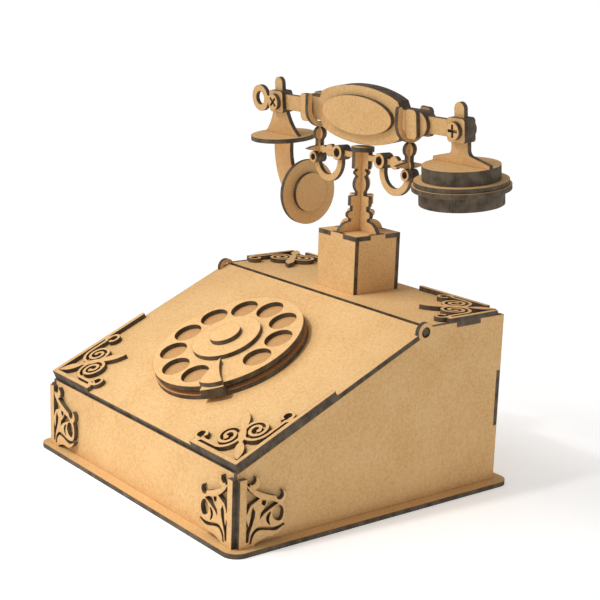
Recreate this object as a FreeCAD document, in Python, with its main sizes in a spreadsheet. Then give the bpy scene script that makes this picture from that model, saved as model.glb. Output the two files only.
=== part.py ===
import FreeCAD, Part
import math
import os
import Sketcher
from FreeCAD import Placement, Rotation, Vector

# Storage box in the form of an antique desk telephone, cut from flat 3 mm board.
# Frame: origin at the middle of the underside, +X to the right, -Y to the front, +Z up.

os.makedirs("parts", exist_ok=True)
doc = FreeCAD.newDocument("desk_telephone_box")

# ---------------------------------------------------------------- driving dimensions
DIMENSIONS = [
    ("stock", 3.0, "thickness of the board"),
    ("box_width", 210.0, "outside width of the box walls"),
    ("box_depth", 200.0, "outside depth of the box walls"),
    ("box_height", 108.0, "walls and top panel above the base plate"),
    ("top_depth", 62.0, "depth of the level top panel"),
    ("slope_angle", 24.0, "slope of the lid, in degrees"),
    ("base_margin", 8.0, "base plate beyond the walls"),
    ("base_corner", 9.0, "corner radius of the base plate"),
    ("joint_tab", 20.0, "length of a joint tab"),
    ("ear_radius", 6.0, "hinge ear on the side panel"),
    ("ear_hole_radius", 3.2, "hole in the hinge ear"),
    ("ear_back", 4.0, "hinge axis below the ridge, along the slope"),
    ("tongue_width", 4.2, "hinge tongue of the lid"),
    ("side_gap", 0.3, "running gap beside the lid"),
    ("pedestal_size", 38.0, "cube under the column"),
    ("cradle_y", 69.0, "middle plane of pedestal, column and handset"),
    ("dial_radius", 50.0, "dial base and finger wheel"),
    ("dial_down", 75.6, "dial centre below the ridge, along the slope"),
    ("spacer_radius", 46.0, "disc under the finger wheel"),
    ("finger_circle", 36.4, "circle of the finger hole centres"),
    ("finger_radius", 9.0, "finger hole"),
    ("dial_play", 0.2, "running gap under and over the finger wheel"),
    ("centre_radius", 22.5, "raised disc on the wheel"),
    ("hub_radius", 10.2, "cap on the raised disc"),
    ("axle_radius", 3.0, "dial axle"),
    ("axle_fit", 0.05, "radial clearance of the axle"),
    ("retainer_radius", 9.0, "disc that keeps the axle under the lid"),
    ("fork_x", 45.0, "middle plane of a fork"),
    ("arm_z", 197.6, "height of the cradle arms"),
    ("handset_z", 225.0, "height of the handset axis"),
    ("handset_roll", 5.5, "forward roll of the handset in the forks, in degrees"),
    ("grip_half_length", 49.0, "grip oval, before its ends are cut"),
    ("grip_half_height", 19.0, "grip oval"),
    ("end_x", 89.5, "end block centre from the middle"),
    ("end_size", 15.0, "end block"),
    ("screw_radius", 5.5, "cross-slotted disc"),
    ("mouth_x", -89.0, "mouthpiece plate centre"),
    ("mouth_plate_radius", 22.5, "level mouthpiece plate"),
    ("mouth_disc_radius", 22.5, "upright mouthpiece disc"),
    ("mouth_inner_radius", 13.6, "raised disc on the mouthpiece"),
    ("mouth_disc_z", 164.4, "centre height of the mouthpiece disc"),
    ("ear_x", 89.2, "earpiece centre"),
    ("ear_upper_radius", 24.0, "upper drum of the earpiece"),
    ("ear_flange_radius", 29.0, "upper flange of the earpiece"),
    ("ear_wide_radius", 30.4, "widest disc of the earpiece"),
    ("ear_lower_radius", 26.2, "lower drum of the earpiece"),
    ("ear_top_z", 204.0, "top of the earpiece drum"),
]
sheet = doc.addObject("Spreadsheet::Sheet", "Dimensions")
for row, (alias, number, meaning) in enumerate(DIMENSIONS, start=1):
    sheet.set("A%d" % row, alias)
    sheet.set("B%d" % row, str(number))
    sheet.set("C%d" % row, meaning)
    sheet.setAlias("B%d" % row, alias)
doc.recompute()


def dim(alias):
    return float(sheet.get(alias))


STOCK = dim("stock")
HALF_W = dim("box_width") / 2
HALF_D = dim("box_depth") / 2
TOP_Z = STOCK + dim("box_height")
RIDGE_Y = HALF_D - dim("top_depth")
SLOPE = math.radians(dim("slope_angle"))
LID_LENGTH = (RIDGE_Y + HALF_D) / math.cos(SLOPE)
CRADLE_Y = dim("cradle_y")
PLATE_BACK_Y = CRADLE_Y + STOCK / 2
ARM_Z = dim("arm_z")
FORK_X = dim("fork_x")
GRIP_Z = dim("handset_z")

# ---------------------------------------------------------------- outlines
# An outline is a list of edges in a board's own plane.


def at(point):
    return Vector(point[0], point[1], 0)


def path(start, *steps):
    """Edges from start: a step of one point is straight, a step of two is an arc through the first."""
    edges = []
    here = start
    for step in steps:
        if isinstance(step[0], tuple):
            edges.append(Part.Arc(at(here), at(step[0]), at(step[1])))
            here = step[1]
        else:
            edges.append(Part.LineSegment(at(here), at(step)))
            here = step
    return edges


def polygon(points):
    return path(points[0], *points[1:], points[0])


def box_outline(x0, y0, x1, y1):
    return polygon([(x0, y0), (x1, y0), (x1, y1), (x0, y1)])


def round_box(x0, y0, x1, y1, radius):
    """Rectangle with round corners."""
    cut = radius * (1 - math.sqrt(0.5))
    return path((x0 + radius, y0), (x1 - radius, y0), ((x1 - cut, y0 + cut), (x1, y0 + radius)),
                (x1, y1 - radius), ((x1 - cut, y1 - cut), (x1 - radius, y1)),
                (x0 + radius, y1), ((x0 + cut, y1 - cut), (x0, y1 - radius)),
                (x0, y0 + radius), ((x0 + cut, y0 + cut), (x0 + radius, y0)))


def circle(x, y, radius):
    return [Part.Circle(Vector(x, y, 0), Vector(0, 0, 1), radius)]


def lens(tip, other, half_width):
    """Pointed leaf between two tips."""
    mid_x, mid_y = (tip[0] + other[0]) / 2, (tip[1] + other[1]) / 2
    length = math.dist(tip, other)
    side_x = -(other[1] - tip[1]) / length * half_width
    side_y = (other[0] - tip[0]) / length * half_width
    return path(tip, ((mid_x + side_x, mid_y + side_y), other), ((mid_x - side_x, mid_y - side_y), tip))


def curved_edge(points):
    curve = Part.BSplineCurve()
    curve.interpolate([at(point) for point in points])
    return curve


def mirrored(start, steps):
    """The steps that lead back, mirrored in x, from the end of steps to the mirror of start."""
    ends = [start] + [step[1] if isinstance(step[0], tuple) else step for step in steps]
    back = []
    for step, end in zip(reversed(steps), reversed(ends[:-1])):
        goal = (-end[0], end[1])
        if isinstance(step[0], tuple):
            back.append(((-step[0][0], step[0][1]), goal))
        else:
            back.append(goal)
    return back


# ---------------------------------------------------------------- placements of a flat board

def level(z, x=0.0, y=0.0, turn=0.0):
    return Placement(Vector(x, y, z), Rotation(Vector(0, 0, 1), turn))


def facing_front(back_y, x=0.0, z=0.0):
    """Board's x is X and its y is Z; its thickness runs from back_y towards the front."""
    return Placement(Vector(x, back_y, z), Rotation(Vector(1, 0, 0), 90))


def facing_right(left_x, y=0.0, z=0.0):
    """Board's x is Y and its y is Z; its thickness runs from left_x to the right."""
    return Placement(Vector(left_x, y, z), Rotation(Vector(1, 1, 1), 120))


def on_lid(height, x=0.0, up_slope=0.0, turn=0.0):
    """On the lid: board's x is X, its y runs up the slope from the ridge line, height above the lid."""
    ridge = Placement(Vector(0, RIDGE_Y, TOP_Z), Rotation(Vector(1, 0, 0), dim("slope_angle")))
    return ridge.multiply(Placement(Vector(x, up_slope, height), Rotation(Vector(0, 0, 1), turn)))


# ---------------------------------------------------------------- makers
nodes = []


def draw(body, name, edges):
    sketch = body.newObject("Sketcher::SketchObject", name)
    plane = [f for f in body.Origin.OriginFeatures if f.Role == "XY_Plane"][0]
    sketch.AttachmentSupport = [(plane, "")]
    sketch.MapMode = "FlatFace"
    sketch.addGeometry(edges, False)
    return sketch


def board(label, place, add, cut=(), thickness="stock"):
    """Flat piece: every outline in add is padded and fused, every outline in cut is cut through."""
    body = doc.addObject("PartDesign::Body", label)
    body.Label = label
    for i, edges in enumerate(add):
        pad = body.newObject("PartDesign::Pad", "%s_pad_%d" % (label, i))
        pad.Profile = draw(body, "%s_outline_%d" % (label, i), edges)
        pad.setExpression("Length", "Dimensions." + thickness)
    doc.recompute()
    for i, edges in enumerate(cut):
        before = body.Shape.Volume
        pocket = body.newObject("PartDesign::Pocket", "%s_pocket_%d" % (label, i))
        pocket.Profile = draw(body, "%s_cut_%d" % (label, i), edges)
        pocket.setExpression("Length", "Dimensions." + thickness)
        pocket.Reversed = True
        doc.recompute()
        if body.Shape.Volume >= before:
            raise RuntimeError("pocket %d of %s cuts nothing" % (i, label))
    body.Placement = place
    nodes.append(body)
    return body


def disc(label, place, radius, thickness="stock", bore=None):
    """Round disc whose radii are bound to the sheet: bore is an expression or None."""
    body = doc.addObject("PartDesign::Body", label)
    body.Label = label
    edges = circle(0, 0, dim(radius))
    bounds = ["Dimensions." + radius]
    if bore:
        edges += circle(0, 0, dim(radius) / 2)
        bounds.append(bore)
    sketch = draw(body, label + "_outline", edges)
    for i, expression in enumerate(bounds):
        sketch.addConstraint(Sketcher.Constraint("Radius", i, edges[i].Radius))
        sketch.setExpression("Constraints[%d]" % i, expression)
    pad = body.newObject("PartDesign::Pad", label + "_pad")
    pad.Profile = sketch
    pad.setExpression("Length", "Dimensions." + thickness)
    body.Placement = place
    nodes.append(body)
    return body


def group(label, solids):
    """Like pieces that share one node, kept as separate solids."""
    feature = doc.addObject("Part::Feature", label)
    feature.Label = label
    feature.Shape = Part.makeCompound(solids)
    nodes.append(feature)
    return feature


def flat_solid(edges, place, holes=()):
    """Loose solid of one board thickness, for a group."""
    loops = [Part.Wire([edge.toShape() for edge in loop]) for loop in (edges, *holes)]
    solid = Part.Face(loops, "Part::FaceMakerBullseye").extrude(Vector(0, 0, STOCK))
    solid.Placement = place
    return solid


# ---------------------------------------------------------------- box

def tab_pair(span):
    """Middles of two joint tabs along an edge of the given length."""
    return (-span / 4, span / 4)


def make_base():
    margin = dim("base_margin")
    tab = dim("joint_tab") / 2
    outline = round_box(-HALF_W - margin, -HALF_D - margin, HALF_W + margin, HALF_D + margin, dim("base_corner"))
    slots = []
    for middle in tab_pair(2 * HALF_W):
        for y in (-HALF_D, HALF_D - STOCK):
            slots.append(box_outline(middle - tab, y, middle + tab, y + STOCK))
    for middle in tab_pair(2 * HALF_D):
        for x in (-HALF_W, HALF_W - STOCK):
            slots.append(box_outline(x, middle - tab, x + STOCK, middle + tab))
    board("base_plate", level(0), [outline], slots)


def lid_underside_z(y):
    return TOP_Z - STOCK / math.cos(SLOPE) + (y - RIDGE_Y) * math.tan(SLOPE)


def hinge_point():
    """Y and Z of the lid's hinge axis, in the middle of the lid's thickness."""
    back = dim("ear_back")
    y = RIDGE_Y - back * math.cos(SLOPE) + STOCK / 2 * math.sin(SLOPE)
    z = TOP_Z - back * math.sin(SLOPE) - STOCK / 2 * math.cos(SLOPE)
    return y, z


BACK_TAB = (39.0, 75.0)
TOP_TAB = (60.0, 80.0)


def make_side(label, left_x):
    tab = dim("joint_tab") / 2
    axis_y, axis_z = hinge_point()
    step_y = RIDGE_Y + dim("side_gap")
    wall = polygon([(-HALF_D, STOCK), (HALF_D, STOCK), (HALF_D, TOP_Z), (step_y, TOP_Z),
                    (step_y, lid_underside_z(step_y)), (-HALF_D, lid_underside_z(-HALF_D))])
    add = [wall, circle(axis_y, axis_z, dim("ear_radius"))]
    for middle in tab_pair(2 * HALF_D):
        add.append(box_outline(middle - tab, 0, middle + tab, STOCK + 1))
    cut = [circle(axis_y, axis_z, dim("ear_hole_radius")),
           box_outline(HALF_D - STOCK, BACK_TAB[0], HALF_D + 1, BACK_TAB[1]),
           box_outline(TOP_TAB[0], TOP_Z - STOCK, TOP_TAB[1], TOP_Z + 1)]
    board(label, facing_right(left_x), add, cut)


def make_box():
    make_base()
    make_side("side_panel_left", -HALF_W)
    make_side("side_panel_right", HALF_W - STOCK)
    inner = HALF_W - STOCK
    tab = dim("joint_tab") / 2
    feet = [box_outline(middle - tab, 0, middle + tab, STOCK + 1) for middle in tab_pair(2 * HALF_W)]
    front = box_outline(-inner, STOCK, inner, lid_underside_z(-HALF_D))
    board("front_panel", facing_front(STOCK - HALF_D), [front] + feet)
    back = box_outline(-inner, STOCK, inner, TOP_Z - STOCK)
    side_tabs = box_outline(-HALF_W, BACK_TAB[0], HALF_W, BACK_TAB[1])
    board("back_panel", facing_front(HALF_D), [back, side_tabs] + feet)
    top = box_outline(-inner, RIDGE_Y + dim("side_gap"), inner, HALF_D)
    top_tabs = box_outline(-HALF_W, TOP_TAB[0], HALF_W, TOP_TAB[1])
    board("top_panel", level(TOP_Z - STOCK), [top, top_tabs])


def make_lid():
    """Lid with notched rear corners, and a tongue at each side that turns in the hinge ear."""
    back = dim("ear_back")
    tongue = dim("tongue_width") / 2
    notch_x = HALF_W - STOCK - dim("side_gap")
    notch_y = -back - dim("ear_radius") - dim("side_gap")
    plate = polygon([(-HALF_W, -LID_LENGTH), (HALF_W, -LID_LENGTH), (HALF_W, notch_y), (notch_x, notch_y),
                     (notch_x, -back + tongue), (-notch_x, -back + tongue), (-notch_x, notch_y),
                     (-HALF_W, notch_y)])
    tongues = box_outline(-HALF_W, -back - tongue, HALF_W, -back + tongue)
    bore = circle(0, -dim("dial_down"), dim("axle_radius") + dim("axle_fit"))
    board("lid_panel", on_lid(-STOCK), [plate, tongues], [bore])


# ---------------------------------------------------------------- scroll ornaments

LONG_LEG = 75.5
SHORT_LEG = 46.0
RAIL = 3.0
LONG_CUT_BACK = 12.5
SHORT_CUT_BACK = 5.4
STRAND = 2.1
VOLUTE = (27.6, 14.6)
VOLUTE_RADIUS = 8.9
VOLUTE_STEP = 2.0
CURL = (45.2, 8.4)


def face(edges):
    return Part.Face(Part.Wire([edge.toShape() for edge in edges]))


def closed_curve(points):
    """Smooth closed outline through the points."""
    curve = Part.BSplineCurve()
    curve.interpolate(Points=[at(point) for point in points], PeriodicFlag=True)
    return face([curve])


def sector(centre, radius, start, end, width=STRAND):
    """Curved strand: a ring sector between two angles, in degrees."""
    arcs = []
    for r in (radius + width / 2, radius - width / 2):
        ring = Part.Circle(at(centre), Vector(0, 0, 1), r)
        arcs.append(Part.ArcOfCircle(ring, math.radians(start), math.radians(end)))
    sides = [Part.LineSegment(arcs[0].EndPoint, arcs[1].EndPoint),
             Part.LineSegment(arcs[0].StartPoint, arcs[1].StartPoint)]
    return Part.Face(Part.Wire(Part.__sortEdges__([edge.toShape() for edge in arcs + sides])))


def volute():
    """Clockwise volute of half circles, each one step smaller, from the strand beside the rail."""
    pieces = []
    x, y = VOLUTE
    radius = VOLUTE_RADIUS
    start = -90
    for _ in range(4):
        pieces.append(sector((x, y), radius, start - 180, start))
        y += VOLUTE_STEP if start == -90 else -VOLUTE_STEP
        radius -= VOLUTE_STEP
        start = 90 if start == -90 else -90
    pieces.append(face(circle(x, y - radius, STRAND * 0.75)))
    return pieces


def swapped(shape):
    """The shape mirrored about the diagonal of the corner."""
    return shape.mirror(Vector(0, 0, 0), Vector(1, -1, 0))


def ornament(label, place, add, cut, flip):
    """Ornament of one board: the faces in add joined, those in cut taken away, mirrored if flip is -1."""
    rise = Vector(0, 0, STOCK)
    solids = [piece.extrude(rise) for piece in add]
    solid = solids[0].multiFuse(solids[1:]).removeSplitter()
    if cut:
        solid = solid.cut([piece.extrude(rise) for piece in cut])
    if flip < 0:
        solid = solid.mirror(Vector(0, 0, 0), Vector(0, 1, 0))
    if len(solid.Solids) != 1:
        raise RuntimeError("%s falls into %d pieces" % (label, len(solid.Solids)))
    feature = doc.addObject("Part::Feature", label)
    feature.Label = label
    feature.Shape = solid.Solids[0]
    feature.Placement = place
    nodes.append(feature)


def corner_scroll(label, place, flip, open_corner=False):
    """Corner ornament: two rails, a pair of volutes about the diagonal, leaves and curls.
    An open corner has both rails cut back, so that the leaf points out between them."""
    strand_y = VOLUTE[1] - VOLUTE_RADIUS
    leg = volute()
    leg.append(face(box_outline(VOLUTE[0], strand_y - STRAND / 2, 42.0, strand_y + STRAND / 2)))
    leg.append(face(polygon([(39.5, strand_y), (42.4, 2.0), (46.0, 2.0), (44.0, strand_y)])))
    leg.append(sector(CURL, 3.6, -120, 165, 2.0))
    leg.append(face(circle(CURL[0] - 3.4, CURL[1] + 1.0, 1.3)))
    add = [face(box_outline(0, 0, LONG_LEG - RAIL / 2, RAIL)), face(box_outline(0, 0, RAIL, SHORT_LEG)),
           face(circle(LONG_LEG - RAIL / 2, RAIL / 2, RAIL / 2))]
    add += leg + [swapped(piece) for piece in leg]
    add.append(face(lens((3.4, 3.4), (16.0, 16.0), 3.1)))
    add.append(face(lens((13.4, 13.4), (27.0, 27.0), 2.4)))
    add.append(face(lens((22.6, 22.6), (37.2, 37.2), 3.1)))
    cut = []
    if open_corner:
        cut.append(face(box_outline(-1, -1, LONG_CUT_BACK, RAIL + 0.1)))
        cut.append(face(box_outline(-1, -1, RAIL + 0.1, SHORT_CUT_BACK)))
    ornament(label, place, add, cut, flip)


def panel_scroll(label, place, flip):
    """Upright ornament beside a box corner: post, arm with two eyes, volute and leaves."""
    body = closed_curve([(4.2, 2.6), (4.2, 18.0), (6.4, 23.4), (9.5, 26.4), (14.0, 29.0), (21.0, 27.4),
                         (28.4, 24.6), (31.6, 19.6), (32.2, 14.6), (30.6, 10.2), (26.6, 8.7), (21.0, 9.2),
                         (15.6, 10.6), (12.2, 10.6), (9.0, 8.4), (7.6, 4.8), (6.8, 2.4)])
    low_leaf = closed_curve([(8.6, 1.9), (9.2, 5.2), (12.4, 8.6), (16.2, 8.5), (21.0, 7.3), (26.7, 6.7),
                             (31.8, 8.6), (28.0, 4.8), (22.7, 3.2), (15.8, 2.9)])
    arm = face(path((3.0, 38.4), ((14.0, 31.4), (27.6, 26.0)), (27.6, 22.6), ((13.0, 27.4), (3.0, 35.0)),
                    (3.0, 38.4)))
    add = [face(box_outline(0, 0, 4.8, 40.5)), body, low_leaf, arm, face(box_outline(4, 0, 11.0, 2.2)),
           face(circle(10.2, 37.0, 3.6)), face(circle(29.2, 25.4, 3.6))]
    cut = [face(circle(8.4, 39.2, 2.6)), face(circle(27.6, 26.8, 2.6)),
           face(polygon([(4.8, 36.3), (6.7, 33.4), (10.2, 30.0), (13.6, 27.6), (11.6, 26.6), (7.6, 24.8),
                         (6.2, 22.6), (4.8, 19.4)])),
           face(polygon([(15.0, 26.3), (18.0, 25.7), (17.9, 24.0), (16.9, 22.6), (15.0, 24.1)])),
           face(polygon([(9.0, 23.4), (10.7, 20.4), (10.3, 17.0), (8.7, 12.6), (7.0, 8.3), (6.4, 3.4),
                         (4.8, 3.4), (4.8, 16.6), (6.3, 12.0), (7.4, 16.4), (7.7, 20.5)])),
           face(polygon([(18.3, 22.8), (19.2, 24.9), (23.0, 24.2), (26.6, 22.3), (20.7, 19.9), (16.7, 17.9),
                         (13.8, 15.2), (14.6, 18.9), (16.6, 20.9)])),
           closed_curve([(20.8, 18.2), (18.4, 15.6), (18.8, 12.8), (21.2, 10.4), (20.4, 14.4)]),
           closed_curve([(27.4, 21.0), (30.0, 18.2), (30.2, 14.6), (28.6, 11.8), (25.0, 12.6), (22.8, 15.2),
                         (23.2, 19.0)])]
    if flip < 0:
        mirror = Vector(1, 0, 0)
        add = [piece.mirror(Vector(0, 0, 0), mirror) for piece in add]
        cut = [piece.mirror(Vector(0, 0, 0), mirror) for piece in cut]
    ornament(label, place, add, cut, 1)


def make_scrolls():
    corner_scroll("lid_scroll_right", on_lid(0, HALF_W, -LID_LENGTH, 90), 1)
    corner_scroll("lid_scroll_left", on_lid(0, -HALF_W, -LID_LENGTH, 90), -1)
    corner_scroll("top_scroll_right", level(TOP_Z, HALF_W, HALF_D, 180), 1, True)
    corner_scroll("top_scroll_left", level(TOP_Z, -HALF_W, HALF_D, 0), -1, True)
    panel_scroll("front_scroll_right", facing_front(-HALF_D, HALF_W, STOCK), -1)
    panel_scroll("front_scroll_left", facing_front(-HALF_D, -HALF_W, STOCK), 1)
    panel_scroll("side_scroll_right", facing_right(HALF_W, -HALF_D, STOCK), 1)
    panel_scroll("side_scroll_left", facing_right(-HALF_W - STOCK, -HALF_D, STOCK), 1)


# ---------------------------------------------------------------- pedestal

def make_pedestal():
    size = dim("pedestal_size")
    half = size / 2
    third = size / 6
    low = TOP_Z + size - STOCK
    high = TOP_Z + size

    def wall(width):
        return [box_outline(-width, TOP_Z, width, low), box_outline(-third, TOP_Z, third, high)]

    board("pedestal_front", facing_front(CRADLE_Y - half + STOCK), wall(half))
    board("pedestal_back", facing_front(CRADLE_Y + half), wall(half))
    board("pedestal_left", facing_right(-half, CRADLE_Y), wall(half - STOCK))
    board("pedestal_right", facing_right(half - STOCK, CRADLE_Y), wall(half - STOCK))
    notches = []
    for side in (-1, 1):
        outer = side * (half + 1)
        edge = side * (half - STOCK)
        notches.append(box_outline(edge, -third, outer, third))
        notches.append(box_outline(-third, edge, third, outer))
    board("pedestal_top", level(low, 0, CRADLE_Y), [box_outline(-half, -half, half, half)], notches)
    return high


# ---------------------------------------------------------------- column and cradle

FORK_Z = 224.2
FORK_OUTER = 12.3
FORK_INNER = 8.6
BALL_Z = 207.5
LAP_Z = 203.0
COLUMN_LAP_Z = 176.0
COLUMN_TOP = 201.0
KNOB_X = 21.3
KNOB_RADIUS = 5.0
KNOB_EYE = 2.9
HOOK_RADIUS = 12.5
HOOK_WIDTH = 4.6
HOOK_END_X = FORK_X + 1.2
HOOK_END_Z = 191.7
HOOK_EYE = 2.2
HOOK_CENTRE = (HOOK_END_X - HOOK_RADIUS, 191.6)


def column_profile(foot_z):
    """Turned profile of the column, as a flat outline about x = 0."""
    start = (18.4, foot_z)
    right = [(18.4, foot_z + 0.8), ((15.2, foot_z + 4.8), (9.0, foot_z + 6.6)), (8.6, 157.8),
             ((11.4, 160.0), (8.4, 162.2)), (7.8, 162.6), (7.8, 165.9), (9.6, 165.9), (9.6, 172.4),
             (4.2, 172.4), (4.2, 174.8), ((6.4, 179.8), (4.2, 184.8)), (6.3, 186.6), (6.3, 187.9),
             (4.8, 189.0), (4.8, 190.0), (7.6, 190.0), (7.6, COLUMN_TOP)]
    top = right[-1]
    return path(start, *right, (-top[0], top[1]), *mirrored(start, right), start)


def make_cradle_plate(foot_z):
    """Column front plate with both arms, scroll hooks and the front halves of the fork posts."""
    half_slot = STOCK / 2
    add = [column_profile(foot_z)]
    cut = [box_outline(-half_slot, foot_z - 1, half_slot, COLUMN_LAP_Z)]
    for side in (-1, 1):
        knob_x = side * KNOB_X
        post_x = side * FORK_X
        hook_x = side * HOOK_CENTRE[0]
        hook_z = HOOK_CENTRE[1]
        outer = HOOK_RADIUS + HOOK_WIDTH / 2
        inner = HOOK_RADIUS - HOOK_WIDTH / 2
        add.append(box_outline(side * 6, ARM_Z - 1.9, side * 46, ARM_Z + 1.9))
        add.append(circle(knob_x, ARM_Z, KNOB_RADIUS))
        add.append(circle(side * 32.5, ARM_Z, 4.2))
        add.append(circle(side * 39.3, ARM_Z, 2.6))
        add.append(circle(post_x, ARM_Z, 3.6))
        add.append(box_outline(post_x - 2.4, ARM_Z, post_x + 2.4, BALL_Z))
        add.append(circle(post_x, BALL_Z, 4.6))
        add.append(circle(side * HOOK_END_X, HOOK_END_Z, 4.0))
        add.append(box_outline(knob_x - HOOK_WIDTH / 2, hook_z - 0.1, knob_x + HOOK_WIDTH / 2, ARM_Z))
        add.append(path((hook_x - outer, hook_z), ((hook_x, hook_z - outer), (hook_x + outer, hook_z)),
                        (hook_x + inner, hook_z), ((hook_x, hook_z - inner), (hook_x - inner, hook_z)),
                        (hook_x - outer, hook_z)))
        cut.append(circle(knob_x, ARM_Z, KNOB_EYE))
        cut.append(circle(side * HOOK_END_X, HOOK_END_Z, HOOK_EYE))
        cut.append(box_outline(post_x - half_slot, LAP_Z, post_x + half_slot, BALL_Z + 8))
    board("cradle_plate", facing_front(PLATE_BACK_Y), add, cut)


def make_fork(label, left_x):
    """Fork across the handset: round cup on a ball post, with a pointed cross at the arm."""
    tip_z = 234.5
    prong = (FORK_OUTER - FORK_INNER) / 2
    cup = path((-FORK_OUTER, tip_z - prong), (-FORK_OUTER, FORK_Z), ((0, FORK_Z - FORK_OUTER), (FORK_OUTER, FORK_Z)),
               (FORK_OUTER, tip_z - prong), ((FORK_OUTER - prong, tip_z), (FORK_INNER, tip_z - prong)),
               (FORK_INNER, FORK_Z), ((0, FORK_Z - FORK_INNER), (-FORK_INNER, FORK_Z)),
               (-FORK_INNER, tip_z - prong), ((prong - FORK_OUTER, tip_z), (-FORK_OUTER, tip_z - prong)))
    add = [cup, circle(0, BALL_Z, 4.8), box_outline(-2.6, ARM_Z, 2.6, BALL_Z),
           lens((-11.5, ARM_Z), (11.5, ARM_Z), 2.0)]
    cut = [box_outline(-STOCK / 2, ARM_Z - 6, STOCK / 2, LAP_Z)]
    board(label, facing_right(left_x, CRADLE_Y), add, cut)


def make_column(foot_z):
    make_cradle_plate(foot_z)
    slot = box_outline(-STOCK / 2, COLUMN_LAP_Z, STOCK / 2, COLUMN_TOP + 1)
    board("column_plate", facing_right(-STOCK / 2, CRADLE_Y), [column_profile(foot_z)], [slot])
    board("column_cap", level(COLUMN_TOP, 0, CRADLE_Y), [circle(0, 0, 7.6)])
    make_fork("fork_left", -FORK_X - STOCK / 2)
    make_fork("fork_right", FORK_X - STOCK / 2)
    for label, back_y in (("knob_rings_front", PLATE_BACK_Y - STOCK), ("knob_rings_back", PLATE_BACK_Y + STOCK)):
        rings = []
        for side in (-1, 1):
            for x, z, radius, eye in ((KNOB_X, ARM_Z, KNOB_RADIUS, KNOB_EYE), (HOOK_END_X, HOOK_END_Z, 3.8, HOOK_EYE)):
                rings.append(flat_solid(circle(side * x, z, radius), facing_front(back_y), [circle(side * x, z, eye)]))
        group(label, rings)


# ---------------------------------------------------------------- dial

FINGER_HOLES = 10
FINGER_PITCH = 360 / 11
FIRST_HOLE = -6.0
STOP_ANGLE = -47.5
STOP_SPAN = 8.0


def polar(radius, degrees):
    return (radius * math.cos(math.radians(degrees)), radius * math.sin(math.radians(degrees)))


def make_dial():
    down = -dim("dial_down")
    play = dim("dial_play")
    wheel_height = 2 * STOCK + play
    bore = "Dimensions.axle_radius + Dimensions.axle_fit"
    disc("dial_base", on_lid(0, 0, down), "dial_radius", bore=bore)
    board("dial_spacer", on_lid(STOCK, 0, down), [circle(0, 0, dim("spacer_radius")), stop_tab(44.0)],
          [circle(0, 0, dim("axle_radius") + dim("axle_fit"))])
    holes = []
    for i in range(FINGER_HOLES):
        x, y = polar(dim("finger_circle"), FIRST_HOLE + FINGER_PITCH * i)
        holes.append(circle(x, y, dim("finger_radius")))
    wheel_radius = dim("dial_radius") - 0.5
    board("dial_wheel", on_lid(wheel_height, 0, down), [circle(0, 0, wheel_radius)],
          holes + [circle(0, 0, dim("axle_radius"))])
    disc("dial_centre", on_lid(wheel_height + STOCK, 0, down), "centre_radius", bore="Dimensions.axle_radius")
    disc("dial_hub", on_lid(wheel_height + 2 * STOCK, 0, down), "hub_radius")
    axle = doc.addObject("Part::Cylinder", "dial_axle")
    axle.Label = "dial_axle"
    axle.setExpression("Radius", "Dimensions.axle_radius")
    axle.setExpression("Height", "6 * Dimensions.stock + 2 * Dimensions.dial_play")
    axle.Placement = on_lid(-2 * STOCK - play, 0, down)
    nodes.append(axle)
    disc("dial_retainer", on_lid(-2 * STOCK - play, 0, down), "retainer_radius", bore="Dimensions.axle_radius")
    make_finger_stop(down, wheel_height, play)


def stop_tab(inner):
    """Ring sector that reaches past the rim at the finger stop."""
    outer = dim("dial_radius") + 4.5
    start, end = STOP_ANGLE - STOP_SPAN, STOP_ANGLE + STOP_SPAN
    return path(polar(inner, start), (polar(inner, STOP_ANGLE), polar(inner, end)), polar(outer, end),
                (polar(outer, STOP_ANGLE), polar(outer, start)), polar(inner, start))


def make_finger_stop(down, wheel_height, play):
    """Fan-shaped stop over the wheel, on a riser that stands on the tab of the spacer."""
    riser = doc.addObject("PartDesign::Body", "finger_stop_riser")
    riser.Label = "finger_stop_riser"
    pad = riser.newObject("PartDesign::Pad", "finger_stop_riser_pad")
    pad.Profile = draw(riser, "finger_stop_riser_outline", stop_tab(dim("dial_radius") - 0.1))
    pad.setExpression("Length", "Dimensions.stock + 2 * Dimensions.dial_play")
    riser.Placement = on_lid(2 * STOCK, 0, down)
    nodes.append(riser)
    tip = polar(25.5, -44.5)
    near = polar(49.4, STOP_ANGLE - 9.5)
    far = polar(52.6, STOP_ANGLE + STOP_SPAN)
    stop = path(tip, (polar(38.0, -43.2), far), (polar(52.6, STOP_ANGLE), near), (polar(36.8, -54.0), tip))
    board("finger_stop", on_lid(wheel_height + STOCK + play, 0, down), [stop])


# ---------------------------------------------------------------- handset

GRIP_CUT = 38.0
NECK_HALF = 7.75
NECK_END = 57.0
BAR_HALF = 5.3
RING_X = -112.3
RING_OUTER = 9.2
RING_EYE = 4.7


def handset_board(label, layer, add, cut=()):
    """Handset layers are counted from the core board, forwards positive."""
    board(label, facing_front(PLATE_BACK_Y - layer * STOCK), add, cut)


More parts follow.
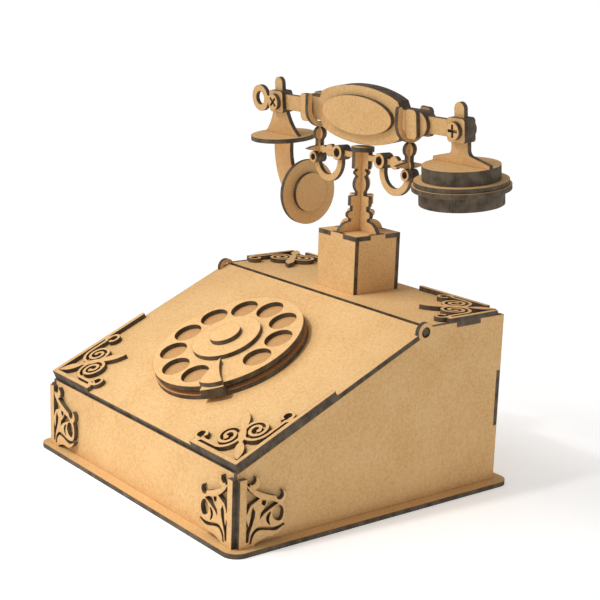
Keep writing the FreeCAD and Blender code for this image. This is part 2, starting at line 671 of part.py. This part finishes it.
def grip_outline():
    """Oval with cut ends that run into round-ended necks."""
    rise = dim("grip_half_height") * math.sqrt(1 - (GRIP_CUT / dim("grip_half_length")) ** 2)
    ellipse = Part.Ellipse(Vector(0, GRIP_Z, 0), dim("grip_half_length"), dim("grip_half_height"))
    reach = math.acos(GRIP_CUT / dim("grip_half_length"))
    upper = Part.ArcOfEllipse(ellipse, reach, math.pi - reach)
    lower = Part.ArcOfEllipse(ellipse, math.pi + reach, 2 * math.pi - reach)
    edges = [upper, lower]
    for side in (-1, 1):
        edges += path((side * GRIP_CUT, GRIP_Z + rise), (side * (GRIP_CUT + 2), GRIP_Z + NECK_HALF),
                      (side * NECK_END, GRIP_Z + NECK_HALF),
                      ((side * (NECK_END + 7), GRIP_Z), (side * NECK_END, GRIP_Z - NECK_HALF)),
                      (side * (GRIP_CUT + 2), GRIP_Z - NECK_HALF), (side * GRIP_CUT, GRIP_Z - rise))
    return edges


def end_block(side):
    x = side * dim("end_x")
    half = dim("end_size") / 2
    return round_box(x - half, GRIP_Z - half, x + half, GRIP_Z + half, 2.2)


def tongue(side):
    """Round-topped tongue above an end block."""
    x = side * dim("end_x")
    half, shoulder, tip = 4.2, GRIP_Z + 12, GRIP_Z + 16.6
    return path((x - half, GRIP_Z), (x + half, GRIP_Z), (x + half, shoulder), ((x, tip), (x - half, shoulder)),
                (x - half, GRIP_Z))


def mouth_skirt():
    """Flared skirt from the left end block down to the mouthpiece plate."""
    foot = 202.0
    return path((-97.0, 219.0), ((-100.8, 210.0), (-107.4, foot)), (-69.6, foot), ((-78.0, 210.0), (-82.4, 219.0)),
                (-97.0, 219.0))


def ear_post():
    """Post from the right end block, with two low fins that lie on the earpiece."""
    foot = dim("ear_top_z")
    return path((82.4, 219.0), (82.4, 212.8), ((81.1, 210.4), (78.0, 209.3)), (65.8, 206.4), (65.8, foot),
                (114.4, foot), (114.4, 206.2), (99.8, 209.7), ((97.4, 210.7), (96.4, 213.2)), (96.4, 219.0),
                (82.4, 219.0))


def make_handset():
    first = len(nodes)
    bar = box_outline(-dim("end_x"), GRIP_Z - BAR_HALF, dim("end_x"), GRIP_Z + BAR_HALF)
    ring_neck = box_outline(RING_X, GRIP_Z - 2.6, -dim("end_x"), GRIP_Z + 2.6)
    core = [grip_outline(), bar, end_block(-1), end_block(1), tongue(-1), tongue(1),
            circle(RING_X, GRIP_Z, RING_OUTER), ring_neck, mouth_skirt(), ear_post()]
    handset_board("handset_core", 0, core, [circle(RING_X, GRIP_Z, RING_EYE)])
    for name, layer in (("front", 1), ("back", -1)):
        handset_board("grip_plate_" + name, layer, [grip_outline()])
        handset_board("end_block_left_" + name, layer, [end_block(-1)])
        handset_board("end_block_right_" + name, layer, [end_block(1)])
        oval = [Part.Ellipse(Vector(0, GRIP_Z + 0.3, 0), 34.5, 12.5)]
        handset_board("grip_oval_" + name, 2 * layer, [oval])
        for side, hand in ((-1, "left"), (1, "right")):
            x0, x1 = sorted((side * 48.0, side * 58.0))
            handset_board("collar_%s_%s" % (hand, name), 2 * layer,
                          [round_box(x0, GRIP_Z - 9.2, x1, GRIP_Z + 9.2, 3.2)])
        place = facing_front(PLATE_BACK_Y - 2 * layer * STOCK)
        group("screw_discs_" + name, [screw_disc(side, place) for side in (-1, 1)])
    make_mouthpiece()
    make_earpiece()
    roll = Placement(Vector(), Rotation(Vector(1, 0, 0), dim("handset_roll")), Vector(0, CRADLE_Y, GRIP_Z))
    for node in nodes[first:]:
        node.Placement = roll.multiply(node.Placement)


def screw_disc(side, place):
    """Disc with a cross slot like a screw head; the left one is turned by half a right angle."""
    x = side * dim("end_x")
    reach, half = 3.9, 0.8
    turn = math.radians(45 if side < 0 else 0)
    cross = [(reach, -half), (reach, half), (half, half), (half, reach), (-half, reach), (-half, half),
             (-reach, half), (-reach, -half), (-half, -half), (-half, -reach), (half, -reach), (half, -half)]
    turned = [(x + a * math.cos(turn) - b * math.sin(turn), GRIP_Z + a * math.sin(turn) + b * math.cos(turn))
              for a, b in cross]
    return flat_solid(circle(x, GRIP_Z, dim("screw_radius")), place, [polygon(turned)])


MOUTH_PLATE_Z = 199.0
MOUTH_DISC_X = -65.3


def make_mouthpiece():
    disc("mouth_plate", level(MOUTH_PLATE_Z, dim("mouth_x"), CRADLE_Y), "mouth_plate_radius")
    outer = [(-97.2, MOUTH_PLATE_Z), (-97.8, 184.0), (-95.8, 174.0), (-90.5, 163.4), (-80.4, 155.8),
             (MOUTH_DISC_X, 153.6)]
    inner = [(MOUTH_DISC_X, 172.6), (-72.2, 174.0), (-77.6, 178.6), (-79.9, 186.0), (-78.8, MOUTH_PLATE_Z)]
    horn = [curved_edge(outer), *path(outer[-1], inner[0]), curved_edge(inner), *path(inner[-1], outer[0])]
    handset_board("horn_plate", 0, [horn])
    z = dim("mouth_disc_z")
    disc("mouth_disc", facing_right(MOUTH_DISC_X, CRADLE_Y, z), "mouth_disc_radius")
    disc("mouth_inner_disc", facing_right(MOUTH_DISC_X + STOCK, CRADLE_Y, z), "mouth_inner_radius")


def make_earpiece():
    x = dim("ear_x")
    top = dim("ear_top_z")
    upper = [flat_solid(circle(0, 0, dim("ear_upper_radius")), level(top - (i + 1) * STOCK, x, CRADLE_Y))
             for i in range(3)]
    group("earpiece_upper_discs", upper)
    disc("earpiece_flange", level(top - 4 * STOCK, x, CRADLE_Y), "ear_flange_radius")
    disc("earpiece_wide_disc", level(top - 5 * STOCK, x, CRADLE_Y), "ear_wide_radius")
    lower = [flat_solid(circle(0, 0, dim("ear_lower_radius")), level(top - (i + 6) * STOCK, x, CRADLE_Y))
             for i in range(3)]
    group("earpiece_lower_discs", lower)


# ---------------------------------------------------------------- build, check and write

def write_parts():
    doc.recompute()
    for item in doc.Objects:
        if "Invalid" in item.State or "Error" in item.State:
            raise RuntimeError("%s failed: %s" % (item.Label, item.State))
    for node in nodes:
        shape = node.Shape
        if shape.isNull() or not shape.isValid():
            raise RuntimeError("%s has no valid shape" % node.Label)
        shape.exportStep("parts/%s.step" % node.Label)
    print("%d parts written" % len(nodes))


make_box()
make_lid()
make_scrolls()
foot = make_pedestal()
make_column(foot)
make_dial()
make_handset()
write_parts()
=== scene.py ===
import math

import bmesh
import bpy
from bpy.props import FloatProperty, FloatVectorProperty, PointerProperty
from bpy.types import Operator, Panel, PropertyGroup
from mathutils import Matrix, Vector

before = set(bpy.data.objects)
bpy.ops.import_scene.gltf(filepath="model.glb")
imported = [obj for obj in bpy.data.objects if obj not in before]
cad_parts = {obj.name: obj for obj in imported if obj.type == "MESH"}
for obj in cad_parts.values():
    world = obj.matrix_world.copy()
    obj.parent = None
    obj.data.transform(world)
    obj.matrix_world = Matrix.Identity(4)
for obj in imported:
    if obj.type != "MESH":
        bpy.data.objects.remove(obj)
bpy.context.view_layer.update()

bl_info = {
    "name": "Board Telephone Box",
    "version": (1, 0, 0),
    "blender": (4, 5, 0),
    "location": "View3D > Sidebar > Telephone",
    "description": "Finishes a telephone shaped box of laser-cut fibre board and lights it",
    "category": "Object",
}

MM = 0.001
LID_SLOPE = math.radians(24)
HANDSET_ROLL = math.radians(5.5)


def linear(hex_colour):
    """Linear RGB of an sRGB hex colour."""
    channels = [int(hex_colour[i:i + 2], 16) / 255 for i in (1, 3, 5)]
    return tuple(c / 12.92 if c <= 0.04045 else ((c + 0.055) / 1.055) ** 2.4 for c in channels)


# ---------------------------------------------------------------- what a user may change

class BoardLook(PropertyGroup):
    """Raw fibre board and its laser-cut edges."""
    face: FloatVectorProperty(name="Face", description="Flat face of the raw board", subtype="COLOR",
                              default=linear("#E3B77C"), min=0, max=1)
    face_dark: FloatVectorProperty(name="Face, dark fibres", description="Darker fibres in the face",
                                   subtype="COLOR", default=linear("#CF9D66"), min=0, max=1)
    face_pale: FloatVectorProperty(name="Face, pale fibres", description="Paler fibres in the face",
                                   subtype="COLOR", default=linear("#EDC995"), min=0, max=1)
    # The smoke stain colour also serves as the colour of the painted shade on the sheets under the finger
    # wheel.
    smoke: FloatVectorProperty(name="Smoke stain", description="Brown stain beside a cut", subtype="COLOR",
                               default=linear("#9A5A22"), min=0, max=1)
    char: FloatVectorProperty(name="Charred edge", description="Edge burnt by the laser", subtype="COLOR",
                              default=linear("#423A31"), min=0, max=1)
    char_pale: FloatVectorProperty(name="Charred edge, worn", description="Paler streaks in the burnt edge",
                                   subtype="COLOR", default=linear("#6F6453"), min=0, max=1)
    fibre: FloatProperty(name="Fibre clumps", description="Size of the mottling in the face",
                         default=1.6 * MM, min=0.1 * MM, unit="LENGTH")
    stain_width: FloatProperty(name="Stain width", description="Reach of the smoke stain from a cut",
                               default=0.9 * MM, min=0.1 * MM, unit="LENGTH")


class StageLook(PropertyGroup):
    """Floor and lights."""
    floor: FloatVectorProperty(name="Floor", description="Colour of the plain floor", subtype="COLOR",
                               default=linear("#FFFFFF"), min=0, max=1)
    floor_glow: FloatProperty(name="Floor glow", description="Light that the floor gives off by itself",
                              default=0.34, min=0)
    sun_power: FloatProperty(name="Main light", description="Strength of the broad soft light",
                             default=1.3, min=0)
    spot_power: FloatProperty(name="Lid light", description="Power of the soft spot on the lid, in watts",
                              default=34.0, min=0)
    sky: FloatProperty(name="Surround", description="Brightness of the white surround", default=0.40, min=0)


# ---------------------------------------------------------------- materials

def add(tree, kind, settings=None, **sockets):
    """Adds a node, sets its fields, and fills or links its inputs by name or number."""
    node = tree.nodes.new(kind)
    for field, setting in (settings or {}).items():
        setattr(node, field, setting)
    for name, source in sockets.items():
        key = int(name[1:]) if name[0] == "i" and name[1:].isdigit() else name.replace("_", " ")
        socket = node.inputs[key]
        if isinstance(source, bpy.types.NodeSocket):
            tree.links.new(source, socket)
        else:
            socket.default_value = source
    return node


def rgba(colour):
    return (*colour, 1.0)


# Turns that bring each sheet's thickness to the local Z axis.
SHEET_TURNS = {
    "level": (0.0, 0.0, 0.0),
    "lid": (-LID_SLOPE, 0.0, 0.0),
    "upright": (math.pi / 2, 0.0, 0.0),
    "sideways": (0.0, -math.pi / 2, 0.0),
    "rolled level": (-HANDSET_ROLL, 0.0, 0.0),
    "rolled upright": (math.pi / 2 - HANDSET_ROLL, 0.0, 0.0),
    "rolled sideways": (-HANDSET_ROLL, -math.pi / 2, 0.0),
}


# Sizes of the patterns in the board.
BLOTCH = 26 * MM
SPECK = 0.9 * MM
STAIN_PATCH = 5 * MM
STREAK = 0.7 * MM
WORN_PATCH = 7 * MM
GRIT = 0.35 * MM
GRIT_DEPTH = 0.08 * MM

# Share of painted shade, in the smoke stain colour, on the sheets under the finger wheel.
DIAL_PAINTED_SHADE = 0.45


def noise(tree, place, size, detail, roughness=0.5):
    """Noise whose clumps have about the given size."""
    texture = add(tree, "ShaderNodeTexNoise", Vector=place, Scale=1 / size, Detail=detail,
                  Roughness=roughness)
    return texture.outputs[0]


def blend(tree, share, first, second):
    """Colour that goes from first to second as share goes from 0 to 1."""
    return add(tree, "ShaderNodeMix", {"data_type": "RGBA"}, i0=share, i6=first, i7=second).outputs[2]


def reckon(tree, operation, *values):
    """Result of a sum on one, two or three values."""
    sockets = {"i%d" % i: value for i, value in enumerate(values)}
    return add(tree, "ShaderNodeMath", {"operation": operation}, **sockets).outputs[0]


def remap(tree, value, **limits):
    """Value stretched from one range to another."""
    return add(tree, "ShaderNodeMapRange", Value=value, **limits).outputs[0]


def is_flat_face(tree, place, turn):
    """1 on the two faces of a sheet and 0 on its cut edges, from the way the surface points."""
    normal = add(tree, "ShaderNodeMapping", {"vector_type": "VECTOR"}, Vector=place.outputs["Normal"],
                 Rotation=turn)
    parts = add(tree, "ShaderNodeSeparateXYZ", Vector=normal.outputs[0])
    return remap(tree, reckon(tree, "ABSOLUTE", parts.outputs["Z"]), From_Min=0.6, From_Max=0.8)


def near_arris(tree, place, reach):
    """1 at an arris and 0 away from it, from how far rounded normals lean away from the true one."""
    soft = add(tree, "ShaderNodeBevel", {"samples": 6}, Radius=reach)
    local = add(tree, "ShaderNodeVectorTransform",
                {"vector_type": "NORMAL", "convert_from": "WORLD", "convert_to": "OBJECT"},
                Vector=soft.outputs[0])
    lean = add(tree, "ShaderNodeVectorMath", {"operation": "DOT_PRODUCT"}, i0=local.outputs[0],
               i1=place.outputs["Normal"])
    return remap(tree, lean.outputs["Value"], From_Min=0.995, From_Max=0.80)


def board_face(tree, flat, arris, painted_shade):
    """Pressed and sanded face: fibre clumps, broad blotches, dark specks, smoke stain at the cuts, and
    painted shade over the whole sheet by the given share.
    """
    look = bpy.context.scene.board_look
    clumps = noise(tree, flat, look.fibre, 6.0, 0.68)
    blotches = noise(tree, flat, BLOTCH, 3.0, 0.55)
    mottle = reckon(tree, "MULTIPLY_ADD", blotches, 0.3, -0.15)
    ramp = add(tree, "ShaderNodeValToRGB", i0=reckon(tree, "ADD", clumps, mottle))
    dark, pale = ramp.color_ramp.elements
    dark.position = 0.24
    dark.color = rgba(look.face_dark)
    pale.position = 0.80
    pale.color = rgba(look.face_pale)
    ramp.color_ramp.elements.new(0.50).color = rgba(look.face)
    speck = remap(tree, noise(tree, flat, SPECK, 2.0), From_Min=0.66, From_Max=0.76, To_Max=0.35)
    speckled = blend(tree, speck, ramp.outputs[0], rgba(look.face_dark))
    patchy = remap(tree, noise(tree, flat, STAIN_PATCH, 3.0), From_Min=0.35, From_Max=0.65, To_Min=0.5,
                   To_Max=1.0)
    # Smoke stain near the cuts, and over the whole sheet the given share of painted shade.
    stain = reckon(tree, "MAXIMUM", reckon(tree, "MULTIPLY", arris, patchy), painted_shade)
    return blend(tree, stain, speckled, rgba(look.smoke))


def burnt_edge(tree, place, flat, arris):
    """Charred edge: faint streaks across the thickness, broad paler worn spots, browner at the arris."""
    look = bpy.context.scene.board_look
    stretched = add(tree, "ShaderNodeVectorMath", {"operation": "MULTIPLY"}, i0=flat, i1=(1.0, 1.0, 0.12))
    streaks = noise(tree, stretched.outputs[0], STREAK, 4.0, 0.6)
    patches = noise(tree, place.outputs["Object"], WORN_PATCH, 3.0)
    worn = remap(tree, reckon(tree, "MULTIPLY_ADD", streaks, 0.45, patches), From_Min=0.52, From_Max=0.95)
    char = blend(tree, worn, rgba(look.char), rgba(look.char_pale))
    return blend(tree, reckon(tree, "MULTIPLY", arris, 0.3), char, rgba(look.smoke))


def raw_board(lie, painted_shade=0.0):
    """Raw medium-density fibreboard cut by laser: a matt, faintly mottled tan face that was pressed
    and sanded, and edges charred dark brown with streaks across the thickness. Smoke has stained the
    face orange-brown along each cut, and painted shade darkens a whole sheet by the given share."""
    name = "Raw MDF, laser-cut, %s%s" % ("smoked, " if painted_shade else "", lie)
    if name in bpy.data.materials:
        return bpy.data.materials[name]
    material = bpy.data.materials.new(name)
    material.use_nodes = True
    tree = material.node_tree
    tree.nodes.clear()
    place = add(tree, "ShaderNodeTexCoord")
    turn = SHEET_TURNS[lie]
    mapping = add(tree, "ShaderNodeMapping", {"vector_type": "POINT"}, Vector=place.outputs["Object"],
                  Rotation=turn)
    flat = mapping.outputs[0]
    arris = near_arris(tree, place, bpy.context.scene.board_look.stain_width)
    colour = blend(tree, is_flat_face(tree, place, turn), burnt_edge(tree, place, flat, arris),
                   board_face(tree, flat, arris, painted_shade))
    grit = noise(tree, flat, GRIT, 4.0, 0.7)
    bump = add(tree, "ShaderNodeBump", Strength=0.25, Distance=GRIT_DEPTH, Height=grit)
    shader = add(tree, "ShaderNodeBsdfPrincipled", Base_Color=colour,
                 Roughness=remap(tree, grit, To_Min=0.62, To_Max=0.84), Normal=bump.outputs[0])
    shader.inputs["IOR"].default_value = 1.45
    shader.inputs["Specular IOR Level"].default_value = 0.3
    add(tree, "ShaderNodeOutputMaterial", Surface=shader.outputs[0])
    return material


def finish_nodes(names, lie, painted_shade=0.0):
    """Gives each CAD node the board material for the way its sheet lies, with the given share of painted
    shade.
    """
    for name in names:
        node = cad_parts[name]
        node.data.materials.clear()
        node.data.materials.append(raw_board(lie, painted_shade))


# ---------------------------------------------------------------- pieces

class TELEPHONE_OT_box(Operator):
    """Finish the walls, base and top of the box"""
    bl_idname = "telephone.box"
    bl_label = "Box"

    def execute(self, context):
        finish_nodes(["base_plate", "top_panel"], "level")
        finish_nodes(["front_panel", "back_panel"], "upright")
        finish_nodes(["side_panel_left", "side_panel_right"], "sideways")
        return {"FINISHED"}


class TELEPHONE_OT_scrolls(Operator):
    """Finish the scroll ornaments on the corners"""
    bl_idname = "telephone.scrolls"
    bl_label = "Scrolls"

    def execute(self, context):
        finish_nodes(["lid_scroll_left", "lid_scroll_right"], "lid")
        finish_nodes(["top_scroll_left", "top_scroll_right"], "level")
        finish_nodes(["front_scroll_left", "front_scroll_right"], "upright")
        finish_nodes(["side_scroll_left", "side_scroll_right"], "sideways")
        return {"FINISHED"}


class TELEPHONE_OT_lid(Operator):
    """Finish the lid and the dial that stands on it"""
    bl_idname = "telephone.lid"
    bl_label = "Lid and dial"

    def execute(self, context):
        finish_nodes(["lid_panel", "dial_wheel", "dial_centre", "dial_hub", "dial_axle", "dial_retainer",
                      "finger_stop", "finger_stop_riser"], "lid")
        # Painted shade, in the smoke stain colour, on the base and spacer that lie under the finger wheel.
        finish_nodes(["dial_base", "dial_spacer"], "lid", DIAL_PAINTED_SHADE)
        return {"FINISHED"}


class TELEPHONE_OT_stand(Operator):
    """Finish the pedestal, the column, the arms and the forks"""
    bl_idname = "telephone.stand"
    bl_label = "Pedestal and column"

    def execute(self, context):
        finish_nodes(["pedestal_top", "column_cap"], "level")
        finish_nodes(["pedestal_front", "pedestal_back", "cradle_plate", "knob_rings_front",
                      "knob_rings_back"], "upright")
        finish_nodes(["pedestal_left", "pedestal_right", "column_plate", "fork_left", "fork_right"],
                     "sideways")
        return {"FINISHED"}


class TELEPHONE_OT_handset(Operator):
    """Finish the handset with its mouthpiece and earpiece"""
    bl_idname = "telephone.handset"
    bl_label = "Handset"

    def execute(self, context):
        upright = ["handset_core", "horn_plate"]
        for side in ("front", "back"):
            upright += ["grip_plate_" + side, "grip_oval_" + side, "screw_discs_" + side]
            for hand in ("left", "right"):
                upright += ["collar_%s_%s" % (hand, side), "end_block_%s_%s" % (hand, side)]
        finish_nodes(upright, "rolled upright")
        finish_nodes(["mouth_plate", "earpiece_upper_discs", "earpiece_flange", "earpiece_wide_disc",
                      "earpiece_lower_discs"], "rolled level")
        finish_nodes(["mouth_disc", "mouth_inner_disc"], "rolled sideways")
        return {"FINISHED"}


# ---------------------------------------------------------------- stage

FLOOR_SIZE = 60.0
PAPER_TOOTH = 2 * MM
PAPER_DEPTH = 0.05 * MM
SUN_FROM = Vector((-0.44, -0.53, 0.73))
SUN_SPREAD = math.radians(45)
SPOT_PLACE = Vector((-0.15, -0.75, 1.05))
SPOT_SPREAD = math.radians(17)
SPOT_SIZE = 0.08
AIM = Vector((0.0, -0.06, 0.08))
CAMERA_PLACE = Vector((0.68730, -0.51582, 0.31836))
CAMERA_AZIMUTH = math.radians(51.987)
CAMERA_ELEVATION = math.radians(13.598)
CAMERA_ROLL = math.radians(1.906)
CAMERA_LENS = 83.61


def studio_floor(colour, glow):
    """Matt white paper sweep, lit from below: even and without gloss."""
    material = bpy.data.materials.new("Matt white paper")
    material.use_nodes = True
    tree = material.node_tree
    tree.nodes.clear()
    place = add(tree, "ShaderNodeTexCoord")
    tooth = noise(tree, place.outputs["Object"], PAPER_TOOTH, 2.0)
    bump = add(tree, "ShaderNodeBump", Strength=0.03, Distance=PAPER_DEPTH, Height=tooth)
    shader = add(tree, "ShaderNodeBsdfPrincipled", Base_Color=rgba(colour), Roughness=0.9,
                 Normal=bump.outputs[0])
    shader.inputs["Specular IOR Level"].default_value = 0.1
    shader.inputs["Emission Color"].default_value = rgba(colour)
    shader.inputs["Emission Strength"].default_value = glow
    add(tree, "ShaderNodeOutputMaterial", Surface=shader.outputs[0])
    return material


def lamp(name, kind, place, power):
    """Light of the given kind that points at the object from its place."""
    light = bpy.data.lights.new(name, kind)
    light.energy = power
    holder = bpy.data.objects.new(name, light)
    holder.location = place
    holder.rotation_euler = (AIM - place).to_track_quat("-Z", "Y").to_euler()
    bpy.context.scene.collection.objects.link(holder)
    return light


def white_surround(strength):
    """World that lights with the given strength and looks plain white itself."""
    world = bpy.data.worlds.new("White surround")
    world.use_nodes = True
    tree = world.node_tree
    tree.nodes.clear()
    ray = add(tree, "ShaderNodeLightPath")
    level = add(tree, "ShaderNodeMix", {"data_type": "FLOAT"}, i0=ray.outputs["Is Camera Ray"],
                i2=strength, i3=1.0)
    light = add(tree, "ShaderNodeBackground", Color=(1, 1, 1, 1), Strength=level.outputs[0])
    add(tree, "ShaderNodeOutputWorld", Surface=light.outputs[0])
    return world


class TELEPHONE_OT_stage(Operator):
    """Add the floor, the lights and the camera"""
    bl_idname = "telephone.stage"
    bl_label = "Stage"

    def execute(self, context):
        scene = context.scene
        look = scene.stage_look
        shape = bmesh.new()
        bmesh.ops.create_grid(shape, x_segments=1, y_segments=1, size=FLOOR_SIZE / 2)
        mesh = bpy.data.meshes.new("floor")
        shape.to_mesh(mesh)
        shape.free()
        floor = bpy.data.objects.new("floor", mesh)
        scene.collection.objects.link(floor)
        mesh.materials.append(studio_floor(look.floor, look.floor_glow))

        scene.world = white_surround(look.sky)
        lamp("Main light", "SUN", SUN_FROM, look.sun_power).angle = SUN_SPREAD
        spot = lamp("Lid light", "SPOT", SPOT_PLACE, look.spot_power)
        spot.spot_size = SPOT_SPREAD
        spot.spot_blend = 1.0
        spot.shadow_soft_size = SPOT_SIZE

        camera = bpy.data.objects.new("Camera", bpy.data.cameras.new("Camera"))
        camera.data.lens = CAMERA_LENS
        camera.data.sensor_width = 36
        camera.data.clip_start = 0.01
        turn = Matrix.Rotation(CAMERA_AZIMUTH, 4, "Z")
        tilt = Matrix.Rotation(math.pi / 2 - CAMERA_ELEVATION, 4, "X")
        roll = Matrix.Rotation(CAMERA_ROLL, 4, "Z")
        camera.matrix_world = Matrix.Translation(CAMERA_PLACE) @ turn @ tilt @ roll
        scene.collection.objects.link(camera)
        scene.camera = camera
        scene.view_settings.view_transform = "Standard"
        return {"FINISHED"}


# ---------------------------------------------------------------- add-on

PIECES = (TELEPHONE_OT_box, TELEPHONE_OT_scrolls, TELEPHONE_OT_lid, TELEPHONE_OT_stand,
          TELEPHONE_OT_handset, TELEPHONE_OT_stage)


class TELEPHONE_PT_panel(Panel):
    """Steps and sizes of the telephone box"""
    bl_label = "Telephone box"
    bl_idname = "TELEPHONE_PT_panel"
    bl_space_type = "VIEW_3D"
    bl_region_type = "UI"
    bl_category = "Telephone"

    def draw(self, context):
        for look in (context.scene.board_look, context.scene.stage_look):
            for name in look.__annotations__:
                self.layout.prop(look, name)
        for piece in PIECES:
            self.layout.operator(piece.bl_idname)


CLASSES = (BoardLook, StageLook, *PIECES, TELEPHONE_PT_panel)


def register():
    for item in CLASSES:
        bpy.utils.register_class(item)
    bpy.types.Scene.board_look = PointerProperty(type=BoardLook)
    bpy.types.Scene.stage_look = PointerProperty(type=StageLook)


def unregister():
    del bpy.types.Scene.stage_look
    del bpy.types.Scene.board_look
    for item in reversed(CLASSES):
        bpy.utils.unregister_class(item)


def main():
    register()
    bpy.ops.telephone.box()
    bpy.ops.telephone.scrolls()
    bpy.ops.telephone.lid()
    bpy.ops.telephone.stand()
    bpy.ops.telephone.handset()
    bpy.ops.telephone.stage()


if __name__ == "__main__":
    main()
